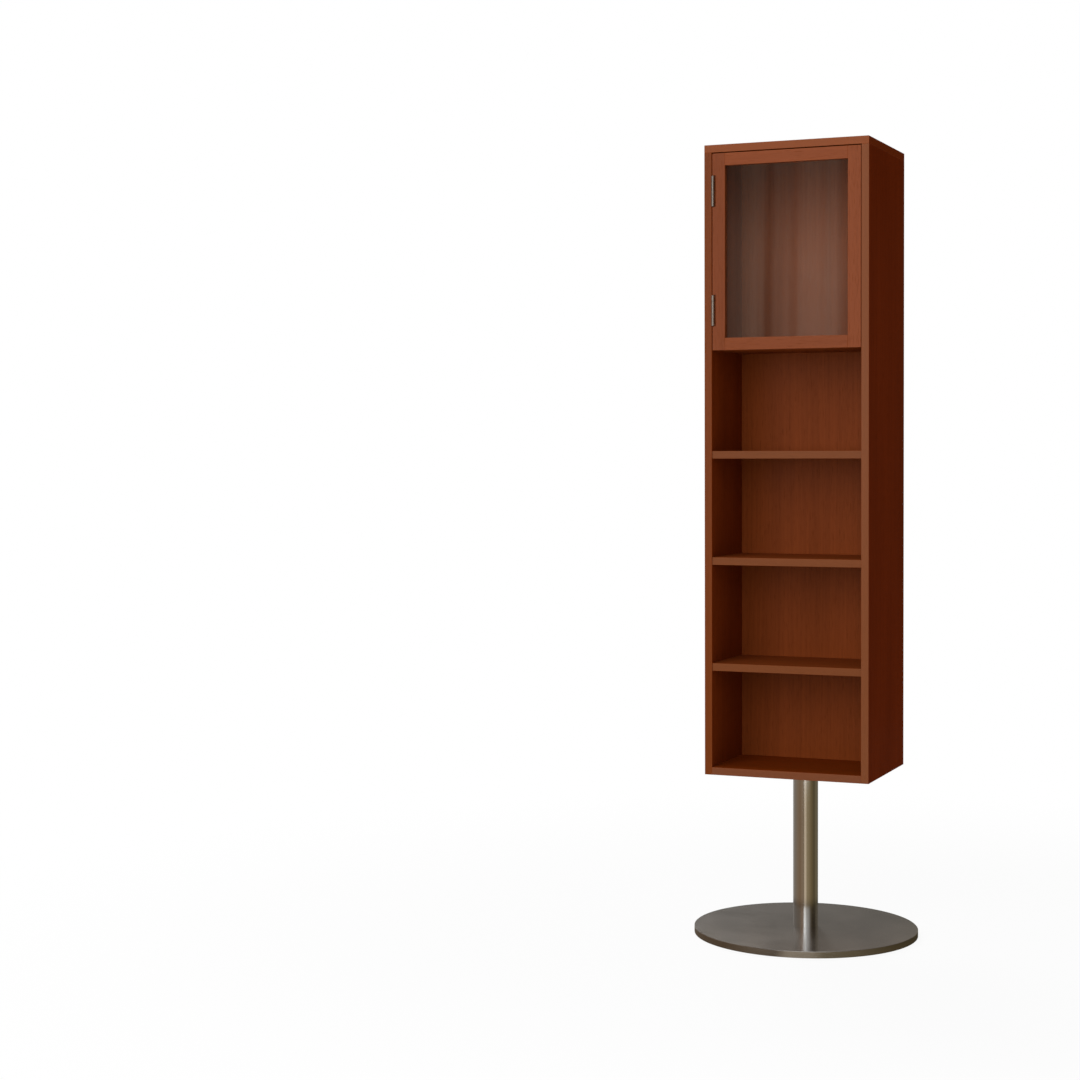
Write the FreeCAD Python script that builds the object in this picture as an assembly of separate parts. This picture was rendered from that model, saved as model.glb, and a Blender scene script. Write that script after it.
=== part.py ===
"""Revolving wardrobe cabinet.

A shelved cabinet with a glass door at its top and a full-length mirror on its back turns on
a steel pole that stands on a round weighted base. Sizes are in millimetres. +Z is up, the
origin is on the floor on the pole's axis, the shelves face -Y and the mirror faces +Y.
"""

import FreeCAD
import Part

import math
import os

V = FreeCAD.Vector
X, Y, Z = V(1, 0, 0), V(0, 1, 0), V(0, 0, 1)

# ---------------------------------------------------------------- driving dimensions

# Cabinet
total_height = 1900.0
cabinet_width = 400.0
cabinet_depth = 340.0
cabinet_bottom = 400.0  # height of its underside above the floor
board = 18.0  # thickness of every veneered board
edge_bevel = 0.6  # the boards' edges are eased by this much

# Shelves
glass_compartment = 450.5  # clear height behind the glass door
open_shelves = 3
shelf_drop = 4.2  # the open shelves sit this much below even spacing
shelf_setback = 3.0  # of the open shelves, from the sides' front edges

# Back panel, in grooves
back_thickness = 8.0
groove_depth = 7.0
groove_play = 0.2  # behind the panel
groove_end_play = 0.5  # between the panel's edge and the groove's floor

# Mirror side
mirror_recess = 15.0  # from the sides' rear edges to the glass
mirror_thickness = 4.0
mirror_board_thickness = 12.0
mirror_gap = 0.5  # all round the mirror and its board
cavity_depth = 68.0  # between the back panel and the mirror's board
cleat = 25.0  # square battens behind the mirror's board

# Loose tongues that join the boards
tongue_thickness = 4.0
tongue_depth = 8.0  # into each of the two boards
tongue_inset = 25.0  # from the joint's front and rear ends
tongue_play = 0.1

# Door
door_thickness = 20.0
stile_width = 31.0
rail_width = 29.0
rebate_width = 8.0  # the step that the glass lies in
lip_thickness = 7.0  # the wood in front of the glass
door_glass_thickness = 4.0
door_glass_play = 1.0
bead_play = 0.3
bead_bevel = 3.0
tenon_thickness = 6.0
tenon_length = 15.0
tenon_shoulder = 4.0
mortise_play = 0.1
door_lock_gap = 1.2
door_top_gap = 2.5
door_rear_gap = 1.3  # between the door and the fixed shelf's front edge
bumper_thickness = 1.0
bumper_diameter = 8.0
bumper_inset = 30.0  # from the sides' inner faces

# Butt hinges
hinge_length = 70.0
lower_hinge_inset = 59.0  # from the door's bottom edge
upper_hinge_inset = 54.0  # from the door's top edge
barrel_diameter = 7.5
hinge_forward = 2.0  # the hinge axis stands this far in front of the door
leaf = 1.5
leaf_gap = 0.5  # between the closed leaves
leaf_margin = 1.0  # between the leaf and the door's rear face
knuckles = 5
knuckle_gap = 0.25
barrel_relief = 0.3  # leaf edges stay this far off the other leaf's knuckles
hinge_pin_diameter = 3.0
hinge_pin_head = 6.8
hinge_pin_head_height = 1.0
notch_play = 3.0  # room in the door beside the barrel
notch_end_play = 2.0

# Magnetic catch
catch_length = 46.0
catch_width = 15.0
catch_height = 14.0
catch_side_gap = 40.0  # from the right side's inner face
catch_air_gap = 0.3
magnet_length = 22.0
magnet_height = 9.0
magnet_depth = 6.0
strike_length = 40.0
strike_height = 13.0
strike_thickness = 1.2

# Base
disc_diameter = 540.0
cover_sheet = 1.5
cover_chamfer = 0.8
cover_play = 0.5  # between the cover's skirt and the plate
skirt_gap = 1.5  # under the cover's skirt
base_plate_thickness = 12.0
glide_height = 3.5
glide_diameter = 30.0
glide_inset = 35.0  # from the disc's rim to a glide's centre
glide_count = 5

# Pole
pole_diameter = 60.0
pole_wall = 2.0
pole_hole_play = 0.3
pole_top_gap = 2.0  # running gap under the swivel plate
foot_height = 30.0
foot_wall = 11.5
foot_screw_count = 3
foot_screw_diameter = 8.0
foot_screw_length = 25.0
foot_screw_head = 13.0
foot_screw_head_height = 8.0
foot_screw_key = 6.0  # across the flats of the hexagon socket
foot_screw_key_depth = 4.0
foot_screw_sunk = 0.5  # the heads lie this deep in the plate

# Spindle and its caged roller thrust bearing
spindle_diameter = 25.0
spindle_length = 203.0
swivel_plate_width = 160.0
swivel_plate_thickness = 6.0
swivel_plate_corner = 12.0
swivel_screw_diameter = 4.5
swivel_screw_head = 8.5
swivel_screw_inset = 15.0
swivel_screw_margin = 1.0  # between a screw's tip and the back panel's groove
head_bush_length = 40.0
lower_bush_length = 30.0
lower_bush_lift = 3.0  # above the retaining screw's flange
race_width = 8.5
bearing_height = 11.0
race_recess = 2.0  # the lower race sits this deep in the head bush
housing_race_play = 1.0  # between the spindle and the lower race
roller_diameter = 5.0
roller_end_margin = 1.5  # between a roller's ends and the races' rims
roller_count = 8
cage_thickness = 3.0
cage_wall_play = 0.7  # between the cage and the spindle, and inside the races' rim
retainer_rim = 3.5  # the retaining screw's flange stands out this far round the spindle
retainer_flange = 3.0
retainer_diameter = 10.0
retainer_length = 20.0
retainer_key = 6.0
retainer_key_depth = 4.0

# Fits
fit = 0.05  # radial room round screws, plugs and pressed bushes
running = 0.05  # radial room round what turns
hole_end_play = 0.5  # drilled holes are this much deeper than what they hold

# ---------------------------------------------------------------- derived places

half_width = cabinet_width / 2
inner = half_width - board  # the sides' inner faces lie at x = -inner and x = inner
front = -cabinet_depth / 2
rear = cabinet_depth / 2
side_top = total_height - board  # the top panel lies on the sides
floor_top = cabinet_bottom + board
fixed_shelf_top = side_top - glass_compartment
fixed_shelf_bottom = fixed_shelf_top - board
shelf_pitch = (fixed_shelf_top - floor_top) / (open_shelves + 1)
shelf_bottoms = [floor_top + shelf_pitch * (i + 1) - board - shelf_drop for i in range(open_shelves)]
shelf_front = front + shelf_setback

mirror_face = rear - mirror_recess
mirror_rear = mirror_face - mirror_thickness
mirror_board_rear = mirror_rear - mirror_board_thickness
back_rear = mirror_board_rear - cavity_depth
back_front = back_rear - back_thickness

door_left = -inner + leaf + leaf_gap  # the cabinet's leaf lies on the side, the door's is let in
door_right = inner - door_lock_gap
door_bottom = fixed_shelf_bottom
door_top = side_top - door_top_gap
door_back = front + door_thickness
fixed_shelf_front = door_back + door_rear_gap
opening_left, opening_right = door_left + stile_width, door_right - stile_width
opening_bottom, opening_top = door_bottom + rail_width, door_top - rail_width
glass_front = front + lip_thickness
glass_back = glass_front + door_glass_thickness

hinge_x = -inner + barrel_diameter / 2
hinge_y = front - hinge_forward
hinge_bottoms = [door_bottom + lower_hinge_inset, door_top - upper_hinge_inset - hinge_length]
leaf_rear = door_back - leaf_margin

plate_bottom = glide_height
plate_top = plate_bottom + base_plate_thickness
base_top = plate_top + cover_sheet
pole_radius = pole_diameter / 2
pole_bore = pole_radius - pole_wall
foot_screw_ring = pole_bore - foot_wall / 2

swivel_bottom = cabinet_bottom - swivel_plate_thickness
swivel_screw_length = swivel_plate_thickness + board - groove_depth - swivel_screw_margin
pole_top = swivel_bottom - pole_top_gap
spindle_radius = spindle_diameter / 2
spindle_bottom = cabinet_bottom - spindle_length
bearing_bottom = swivel_bottom - bearing_height
bearing_radius = spindle_radius + race_width
race_thickness = (bearing_height - roller_diameter) / 2
roller_level = bearing_bottom + bearing_height / 2
roller_ring = spindle_radius + race_width / 2
roller_length = race_width - 2 * roller_end_margin


# ---------------------------------------------------------------- helpers


def block(x0, x1, y0, y1, z0, z1):
    """A block between two corners."""
    return Part.makeBox(x1 - x0, y1 - y0, z1 - z0, V(x0, y0, z0))


def round_bar(radius, z0, z1, x=0.0, y=0.0):
    """An upright cylinder."""
    return Part.makeCylinder(radius, z1 - z0, V(x, y, z0))


def turned(points):
    """A solid of revolution about Z, from the corners (radius, height) of its half section."""
    corners = [V(radius, 0, height) for radius, height in points]
    return Part.Face(Part.makePolygon(corners + corners[:1])).revolve(V(0, 0, 0), Z, 360)


def tube(outer, bore, z0, z1):
    """An upright tube or washer on the pole's axis."""
    return turned([(bore, z0), (outer, z0), (outer, z1), (bore, z1)])


def cut(solid, *tools):
    """The solid less all the tools."""
    return solid.cut(list(tools)).Solids[0]


def joined(*solids):
    """One solid from several that meet, with the seams between them cleaned away."""
    return solids[0].fuse(list(solids[1:])).removeSplitter().Solids[0]


def placed(solid, point, outward):
    """A copy of a shape made along Z, with its +Z turned to point outward from the point."""
    copy = solid.copy()
    copy.Placement = FreeCAD.Placement(point, FreeCAD.Rotation(Z, outward))
    return copy


def eased(solid, *directions):
    """Bevels the edges of the faces that look in the given directions."""
    edges = []
    for direction in directions:
        face = max(solid.Faces, key=lambda f: f.CenterOfMass.dot(direction))
        edges += [e for e in face.Edges if not any(e.isSame(known) for known in edges)]
    return solid.makeChamfer(edge_bevel, edges)


def on_ring(radius, count, level, start=0.0):
    """Points evenly spaced on a circle about the pole's axis."""
    angles = [start + 2 * math.pi * i / count for i in range(count)]
    return [V(radius * math.cos(a), radius * math.sin(a), level) for a in angles]


def cap_screw(diameter, length, head, head_height, key, key_depth):
    """A socket-head screw that points up, with the underside of its head at z = 0."""
    body = turned([
        (0, -head_height), (head / 2, -head_height), (head / 2, 0),
        (diameter / 2, 0), (diameter / 2, length), (0, length),
    ])
    corner = key / math.sqrt(3)
    flats = [V(p.x, p.y, -head_height) for p in on_ring(corner, 6, 0)]
    socket = Part.Face(Part.makePolygon(flats + flats[:1])).extrude(Z * key_depth)
    return cut(body, socket)


def tongue(point, across, along, y0, y1, room=0.0):
    """A loose tongue centred on a joint, or with room the groove that takes it.

    It reaches into both boards along the unit vector across, and is thin along the other.
    """
    reach = tongue_depth + (hole_end_play if room else 0)
    half = across * reach + along * (tongue_thickness / 2 + room)
    low, high = point - half, point + half
    return block(low.x, high.x, y0 - room, y1 + room, low.z, high.z)


def on_spokes(shape, count):
    """Copies of a shape turned in equal steps about the pole's axis."""
    copies = [shape.copy() for _ in range(count)]
    for i, copy in enumerate(copies):
        copy.rotate(V(0, 0, 0), Z, 360 * i / count)
    return copies


# ---------------------------------------------------------------- where the fixings go


def tongue_spans():
    """The front and rear stretches of a joint that the back panel's groove crosses."""
    return [(y0 + tongue_inset, y1 - tongue_inset) for y0, y1 in ((front, back_front), (back_rear, rear))]


def top_tongues(room=0.0):
    """The tongues between the sides and the top panel."""
    middles = [V(side * (half_width - board / 2), 0, side_top) for side in (-1, 1)]
    return [tongue(middle, Z, X, *span, room) for middle in middles for span in tongue_spans()]


def bottom_tongues(room=0.0):
    """The tongues between the sides and the bottom panel."""
    middles = [V(side * inner, 0, cabinet_bottom + board / 2) for side in (-1, 1)]
    return [tongue(middle, X, Z, *span, room) for middle in middles for span in tongue_spans()]


def shelf_ends(y_front, bottom, room=0.0):
    """The two tongues that hold one shelf between the sides."""
    ends = (y_front + tongue_inset, back_front - tongue_inset)
    return [tongue(V(side * inner, 0, bottom + board / 2), X, Z, *ends, room) for side in (-1, 1)]


def shelf_tongues(room=0.0):
    """The tongues of the fixed shelf and of the open ones."""
    solids = shelf_ends(fixed_shelf_front, fixed_shelf_bottom, room)
    for bottom in shelf_bottoms:
        solids += shelf_ends(shelf_front, bottom, room)
    return solids


def catch_centre():
    return inner - catch_side_gap - catch_length / 2


def catch_front():
    """The magnet's face, an air gap behind the strike plate."""
    return door_back + strike_thickness + catch_air_gap


def strike_level():
    return side_top - catch_height / 2 - door_top_gap


def foot_screw_places():
    """Points on the axes of the pole's foot screws, at the underside of their heads."""
    level = plate_bottom + foot_screw_sunk + foot_screw_head_height
    return on_ring(foot_screw_ring, foot_screw_count, level, math.pi / foot_screw_count)


# ---------------------------------------------------------------- base and pole


def base_plate():
    """The steel ballast disc, counterbored from below for the pole's screws."""
    disc = round_bar(disc_diameter / 2 - cover_sheet - cover_play, plate_bottom, plate_top)
    tools = []
    for place in foot_screw_places():
        tools.append(round_bar(foot_screw_diameter / 2 + fit, plate_bottom, plate_top, place.x, place.y))
        head = foot_screw_head / 2 + cover_play
        tools.append(round_bar(head, plate_bottom, place.z, place.x, place.y))
    return cut(disc, *tools)


def base_cover():
    """The spun sheet cover: flat top, bevelled rim and a skirt that stops above the floor."""
    rim = disc_diameter / 2
    hole = pole_radius + pole_hole_play
    return turned([
        (hole, plate_top), (rim - cover_sheet, plate_top), (rim - cover_sheet, skirt_gap),
        (rim, skirt_gap), (rim, base_top - cover_chamfer), (rim - cover_chamfer, base_top),
        (hole, base_top),
    ])


def base_glides():
    """Rubber pads under the plate."""
    centres = on_ring(disc_diameter / 2 - glide_inset, glide_count, 0)
    return [round_bar(glide_diameter / 2, 0, plate_bottom, p.x, p.y) for p in centres]


def pole_foot():
    """The thick ring welded into the pole's end, tapped for the screws from the plate."""
    ring = tube(pole_bore - fit, pole_bore - foot_wall, plate_top, plate_top + foot_height)
    reach = foot_screw_length + hole_end_play
    radius = foot_screw_diameter / 2 + fit
    return cut(ring, *[round_bar(radius, plate_top, p.z + reach, p.x, p.y) for p in foot_screw_places()])


def foot_screws():
    screw = cap_screw(
        foot_screw_diameter, foot_screw_length, foot_screw_head,
        foot_screw_head_height, foot_screw_key, foot_screw_key_depth,
    )
    return [placed(screw, p, Z) for p in foot_screw_places()]


def head_bush():
    """The upper bush: it guides the spindle and seats the bearing's lower race in a recess."""
    top = bearing_bottom + race_recess
    seat = bearing_radius + 2 * fit
    bore = spindle_radius + running
    outside = pole_bore - fit
    return turned([
        (bore, bearing_bottom - head_bush_length), (outside, bearing_bottom - head_bush_length),
        (outside, top), (seat, top), (seat, bearing_bottom), (bore, bearing_bottom),
    ])


def lower_bush():
    low = spindle_bottom + lower_bush_lift
    return tube(pole_bore - fit, spindle_radius + running, low, low + lower_bush_length)


def base_nodes():
    return {
        "base_plate": [base_plate()],
        "base_cover": [base_cover()],
        "base_glides": base_glides(),
        "pole": [tube(pole_radius, pole_bore, plate_top, pole_top)],
        "pole_foot": [pole_foot()],
        "foot_screws": foot_screws(),
        "head_bush": [head_bush()],
        "lower_bush": [lower_bush()],
    }


# ---------------------------------------------------------------- bearing and spindle


def race(bore, z0):
    """One race: the flat washer that the rollers run on."""
    return tube(bearing_radius, bore, z0, z0 + race_thickness)


def bearing_cage():
    """The flat ring whose pockets keep the rollers apart and on their circle."""
    low, high = roller_level - cage_thickness / 2, roller_level + cage_thickness / 2
    ring = tube(bearing_radius - cage_wall_play, spindle_radius + cage_wall_play, low, high)
    long, wide = roller_length / 2 + running, roller_diameter / 2 + running
    pocket = block(roller_ring - long, roller_ring + long, -wide, wide, low, high)
    return cut(ring, *on_spokes(pocket, roller_count))


def bearing_rollers():
    """Rollers that lie like spokes round the spindle."""
    inner_end = V(roller_ring - roller_length / 2, 0, roller_level)
    roller = Part.makeCylinder(roller_diameter / 2 - running, roller_length, inner_end, X)
    return on_spokes(roller, roller_count)


def swivel_screws(room=0.0):
    """Countersunk screws from the swivel plate's corners up into the bottom panel.

    With room they are the holes for those screws, that much wider all round and a little deeper.
    """
    shank, head = swivel_screw_diameter / 2 + room, swivel_screw_head / 2 + room
    tip = swivel_screw_length + (hole_end_play if room else 0)
    screw = turned([(0, 0), (head, 0), (shank, head - shank), (shank, tip), (0, tip)])
    reach = swivel_plate_width / 2 - swivel_screw_inset
    return [placed(screw, V(x, y, swivel_bottom), Z) for x in (-reach, reach) for y in (-reach, reach)]


def swivel_plate():
    """The square plate under the cabinet, welded round the spindle's top."""
    half = swivel_plate_width / 2
    plate = block(-half, half, -half, half, swivel_bottom, cabinet_bottom)
    upright = [e for e in plate.Edges if abs(e.BoundBox.ZLength - swivel_plate_thickness) < fit]
    plate = plate.makeChamfer(swivel_plate_corner, upright)
    hole = round_bar(spindle_radius + fit, swivel_bottom, cabinet_bottom)
    return cut(plate, hole, *swivel_screws(fit))


def spindle():
    """The turning shaft, tapped at its lower end for the retaining screw."""
    shaft = round_bar(spindle_radius, spindle_bottom, cabinet_bottom)
    depth = retainer_length + hole_end_play
    return cut(shaft, round_bar(retainer_diameter / 2 + fit, spindle_bottom, spindle_bottom + depth))


def retaining_screw():
    """Its flange is wider than the lower bush's bore, so the cabinet can't be lifted off."""
    flange = 2 * (spindle_radius + retainer_rim)
    screw = cap_screw(
        retainer_diameter, retainer_length, flange, retainer_flange, retainer_key, retainer_key_depth
    )
    return placed(screw, V(0, 0, spindle_bottom), Z)


def swivel_nodes():
    lower_bore = spindle_radius + housing_race_play
    upper_bore = spindle_radius + fit
    return {
        "bearing_lower_race": [race(lower_bore, bearing_bottom)],
        "bearing_cage": [bearing_cage()],
        "bearing_rollers": bearing_rollers(),
        "bearing_upper_race": [race(upper_bore, swivel_bottom - race_thickness)],
        "swivel_plate": [swivel_plate()],
        "swivel_screws": swivel_screws(),
        "spindle": [spindle()],
        "retaining_screw": [retaining_screw()],
    }


# ---------------------------------------------------------------- carcass


def back_groove():
    """The groove for the back panel, as one slab that reaches into all four boards round it."""
    reach = inner + groove_depth
    low, high = floor_top - groove_depth, side_top + groove_depth
    return block(-reach, reach, back_front, back_rear + groove_play, low, high)


def back_panel():
    reach = inner + groove_depth - groove_end_play
    low = floor_top - groove_depth + groove_end_play
    high = side_top + groove_depth - groove_end_play
    return block(-reach, reach, back_front, back_rear, low, high)


def grooved(board_solid, *tools):
    """A board less the back panel's groove and those of the other tools that reach it."""
    tools = [back_groove(), *tools]
    return cut(board_solid, *[tool for tool in tools if tool.BoundBox.intersect(board_solid.BoundBox)])


def side_board(side):
    """A side, grooved for the back panel and for every tongue."""
    low, high = sorted((side * inner, side * half_width))
    solid = eased(block(low, high, front, rear, cabinet_bottom, side_top), Y, Y * -1)
    tongues = top_tongues(tongue_play) + bottom_tongues(tongue_play) + shelf_tongues(tongue_play)
    return grooved(solid, *tongues)


def top_panel():
    """The top lies on both sides and is eased all round."""
    solid = block(-half_width, half_width, front, rear, side_top, total_height)
    return grooved(solid.makeChamfer(edge_bevel, solid.Edges), *top_tongues(tongue_play))


def bottom_panel():
    """The bottom fits between the sides and carries the cabinet on the swivel plate."""
    solid = eased(block(-inner, inner, front, rear, cabinet_bottom, floor_top), Y, Y * -1)
    return grooved(solid, *bottom_tongues(tongue_play), *swivel_screws(fit))


def shelf(y_front, bottom):
    """A shelf between the sides, from its front edge back to the back panel."""
    solid = block(-inner, inner, y_front, back_front, bottom, bottom + board)
    return cut(eased(solid, Y * -1), *shelf_ends(y_front, bottom, tongue_play))


def carcass_nodes():
    nodes = {
        "side_left": [side_board(-1)],
        "side_right": [side_board(1)],
        "top_panel": [top_panel()],
        "bottom_panel": [bottom_panel()],
        "back_panel": [back_panel()],
        "fixed_shelf": [shelf(fixed_shelf_front, fixed_shelf_bottom)],
        "top_tongues": top_tongues(),
        "bottom_tongues": bottom_tongues(),
        "shelf_tongues": shelf_tongues(),
    }
    for number, bottom in enumerate(shelf_bottoms, 1):
        nodes[f"shelf_{number}"] = [shelf(shelf_front, bottom)]
    return nodes


# ---------------------------------------------------------------- mirror side


def mirror_cleats():
    """Four battens glued inside the cavity: two the full height, and one across each end."""
    y0, y1 = mirror_board_rear - cleat, mirror_board_rear
    across = inner - cleat
    return [
        block(-inner, -across, y0, y1, floor_top, side_top),
        block(across, inner, y0, y1, floor_top, side_top),
        block(-across, across, y0, y1, floor_top, floor_top + cleat),
        block(-across, across, y0, y1, side_top - cleat, side_top),
    ]


def mirror_sheet(y0, y1):
    """A sheet that fills the frame on the mirror side, less a small gap all round."""
    reach = inner - mirror_gap
    return block(-reach, reach, y0, y1, floor_top + mirror_gap, side_top - mirror_gap)


def mirror_nodes():
    return {
        "mirror_cleats": mirror_cleats(),
        "mirror_board": [mirror_sheet(mirror_board_rear, mirror_rear)],
        "mirror_glass": [mirror_sheet(mirror_rear, mirror_face)],
    }


# ---------------------------------------------------------------- door


def tenons(room=0.0):
    """The stub tenons at both ends of both rails; with room, the mortises that take them."""
    middle = front + door_thickness / 2
    y0, y1 = middle - tenon_thickness / 2 - room, middle + tenon_thickness / 2 + room
    depth = tenon_length + (hole_end_play if room else 0)
    back_left, back_right = opening_left - rebate_width, opening_right + rebate_width
    low = (door_bottom + tenon_shoulder - room, opening_bottom - rebate_width + room)
    high = (opening_top + rebate_width - room, door_top - tenon_shoulder + room)
    ends = [(back_left - depth, back_left), (back_right, back_right + depth)]
    return [block(x0, x1, y0, y1, z0, z1) for z0, z1 in (low, high) for x0, x1 in ends]


def glass_rebate(beyond=0.0):
    """The step round the opening, behind the lip, that the glass and its beads lie in.

    It reaches on by the beyond distance above and below, where the stiles take the rails' backs.
    """
    step = rebate_width
    return block(
        opening_left - step, opening_right + step, glass_front, door_back,
        opening_bottom - step - beyond, opening_top + step + beyond,
    )


def hinge_notches():
    """The recesses in the hinge stile's front corner that clear the hinge barrels."""
    reach = barrel_diameter / 2 + notch_play
    height = hinge_length + 2 * notch_end_play
    lows = [bottom - notch_end_play for bottom in hinge_bottoms]
    return [block(door_left, hinge_x + reach, front, hinge_y + reach, z, z + height) for z in lows]


def leaf_recesses():
    """The shallow seats in the hinge stile's edge that the door's leaves are let into."""
    back = leaf_rear + fit
    return [
        block(door_left, door_left + leaf, front, back, z - fit, z + hinge_length + fit) for z in hinge_bottoms
    ]


def stile(x0, x1, *extra):
    """An upright of the door's frame, rebated over its full height and mortised for the rails."""
    solid = eased(block(x0, x1, front, door_back, door_bottom, door_top), Y * -1)
    return cut(solid, glass_rebate(beyond=rail_width), *tenons(mortise_play), *extra)


def rail(z0, z1):
    """A rail: its lip ends at the stiles, and its back runs on into their rebates and mortises."""
    lip = eased(block(opening_left, opening_right, front, glass_front, z0, z1), Y * -1)
    step = rebate_width
    back = block(opening_left - step, opening_right + step, glass_front, door_back, z0, z1)
    own = [t for t in tenons() if z0 < t.CenterOfMass.z < z1]
    return joined(lip, cut(back, glass_rebate()), *own)


def door_glass():
    reach = rebate_width - door_glass_play
    return block(
        opening_left - reach, opening_right + reach, glass_front, glass_back,
        opening_bottom - reach, opening_top + reach,
    )


def glazing_beads():
    """Four mitred beads behind the glass, bevelled towards the opening."""
    grow = rebate_width - bead_play
    outer = block(
        opening_left - grow, opening_right + grow, glass_back, door_back,
        opening_bottom - grow, opening_top + grow,
    )
    hole = block(opening_left, opening_right, glass_back, door_back, opening_bottom, opening_top)
    frame = cut(outer, hole)
    inside = [e for e in frame.Edges if e.BoundBox.YMin > door_back - bead_play and bead_edge(e)]
    frame = frame.makeChamfer(bead_bevel, inside)
    return [frame.common(wedge).Solids[0] for wedge in mitre_wedges()]


def bead_edge(edge):
    """True for an edge of the opening in the beads' rear face."""
    at = edge.CenterOfMass
    return opening_left - 1 < at.x < opening_right + 1 and opening_bottom - 1 < at.z < opening_top + 1


def mitre_wedges():
    """Four prisms that meet on the 45 degree lines through the opening's corners."""
    x0, x1, z0, z1 = opening_left, opening_right, opening_bottom, opening_top
    middle, reach = (x0 + x1) / 2, (x1 - x0) / 2
    low_hub, high_hub = V(middle, front, z0 + reach), V(middle, front, z1 - reach)
    far = rebate_width
    a, b = V(x0 - far, front, z0 - far), V(x1 + far, front, z0 - far)
    c, d = V(x1 + far, front, z1 + far), V(x0 - far, front, z1 + far)
    outlines = [[a, b, low_hub], [b, c, high_hub, low_hub], [c, d, high_hub], [d, a, low_hub, high_hub]]
    depth = Y * door_thickness
    return [Part.Face(Part.makePolygon(o + o[:1])).extrude(depth) for o in outlines]


def strike_plate():
    """The steel plate on the door's top rail that the magnet holds."""
    half, tall = strike_length / 2, strike_height / 2
    x, z = catch_centre(), strike_level()
    return block(x - half, x + half, door_back, door_back + strike_thickness, z - tall, z + tall)


def door_nodes():
    return {
        "door_stile_hinge": [stile(door_left, opening_left, *hinge_notches(), *leaf_recesses())],
        "door_stile_lock": [stile(opening_right, door_right)],
        "door_rail_bottom": [rail(door_bottom, opening_bottom)],
        "door_rail_top": [rail(opening_top, door_top)],
        "door_glass": [door_glass()],
        "glazing_beads": glazing_beads(),
        "strike_plate": [strike_plate()],
    }


# ---------------------------------------------------------------- hinges


def knuckle_span(number):
    """The height range of one knuckle, counted from the hinge's lower end."""
    pitch = (hinge_length + knuckle_gap) / knuckles
    return number * pitch, (number + 1) * pitch - knuckle_gap


def hinge_leaf(x0, x1, own):
    """A leaf with its own knuckles, by their numbers, for a hinge whose lower end is at z = 0.

    The plate runs into its own knuckles and is cut back round the other leaf's.
    """
    radius = barrel_diameter / 2
    plate = block(x0, x1, hinge_y, leaf_rear, 0, hinge_length)
    rolls, gaps = [], []
    for number in range(knuckles):
        low, high = knuckle_span(number)
        if number in own:
            rolls.append(round_bar(radius, low, high, hinge_x, hinge_y))
        else:
            clear = hinge_y + radius + barrel_relief
            gaps.append(block(x0, x1, hinge_y, clear, low - knuckle_gap, high + knuckle_gap))
    bore = round_bar(hinge_pin_diameter / 2 + running, 0, hinge_length, hinge_x, hinge_y)
    return cut(joined(cut(plate, *gaps), *rolls), bore)


def hinge_pin():
    """The pin through the knuckles, with a button at each end."""
    stem, head, tall = hinge_pin_diameter / 2, hinge_pin_head / 2, hinge_pin_head_height
    pin = turned([
        (0, -tall), (head, -tall), (head, 0), (stem, 0),
        (stem, hinge_length), (head, hinge_length), (head, hinge_length + tall), (0, hinge_length + tall),
    ])
    pin.translate(V(hinge_x, hinge_y, 0))
    return pin


def on_both_hinges(solid):
    """The lower and the upper hinge's copy of a piece whose lower end is at z = 0."""
    return [solid.translated(Z * bottom) for bottom in hinge_bottoms]


def hinge_nodes():
    """The cabinet's leaves have every other knuckle from the lowest, and the door's have the rest."""
    cabinet_own, door_own = range(0, knuckles, 2), range(1, knuckles, 2)
    return {
        "hinge_cabinet_leaves": on_both_hinges(hinge_leaf(-inner, -inner + leaf, cabinet_own)),
        "hinge_door_leaves": on_both_hinges(hinge_leaf(door_left, door_left + leaf, door_own)),
        "hinge_pins": on_both_hinges(hinge_pin()),
    }


# ---------------------------------------------------------------- catch and bumpers


def magnet_block(room=0.0):
    """The magnet in the catch's front pocket; with room, the pocket itself."""
    x, y = catch_centre(), catch_front()
    z = side_top - catch_height / 2
    half, tall = magnet_length / 2 + room, magnet_height / 2 + room
    return block(x - half, x + half, y, y + magnet_depth + room, z - tall, z + tall)


def catch_body():
    """The catch's moulded case under the top panel, with a pocket for the magnet."""
    half = catch_length / 2
    x, y = catch_centre(), catch_front()
    case = block(x - half, x + half, y, y + catch_width, side_top - catch_height, side_top)
    return cut(case, magnet_block(fit))


def door_bumpers():
    """Two soft dots on the fixed shelf's front edge that the door closes on."""
    reach = inner - bumper_inset
    level = fixed_shelf_bottom + board / 2
    dot = Part.makeCylinder(bumper_diameter / 2, bumper_thickness)
    return [placed(dot, V(x, fixed_shelf_front, level), Y * -1) for x in (-reach, reach)]


def catch_nodes():
    return {
        "catch_body": [catch_body()],
        "catch_magnet": [magnet_block()],
        "door_bumpers": door_bumpers(),
    }


# ---------------------------------------------------------------- writing


def build():
    """Every node's name with its solids."""
    nodes = {}
    makers = (base_nodes, swivel_nodes, carcass_nodes, mirror_nodes, door_nodes, hinge_nodes, catch_nodes)
    for make in makers:
        nodes.update(make())
    return nodes


def write(nodes):
    os.makedirs("parts", exist_ok=True)
    for name, solids in nodes.items():
        shape = solids[0] if len(solids) == 1 else Part.makeCompound(solids)
        shape.exportStep(f"parts/{name}.step")
        volume = sum(solid.Volume for solid in solids)
        print(f"{name}: {len(solids)} solid(s), {volume / 1000:.1f} cm3, valid {shape.isValid()}")


write(build())
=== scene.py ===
# %% [markdown]
# # A revolving wardrobe cabinet
#
# The cabinet, its little glass door, its pole and its weighted foot are already modelled to size, in
# metres, and stay exactly where they are. This lesson gives them what the eye judges them by: a camera,
# a soft studio, the finish of every surface, and the smallest fasteners. We start by loading the model.

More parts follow.
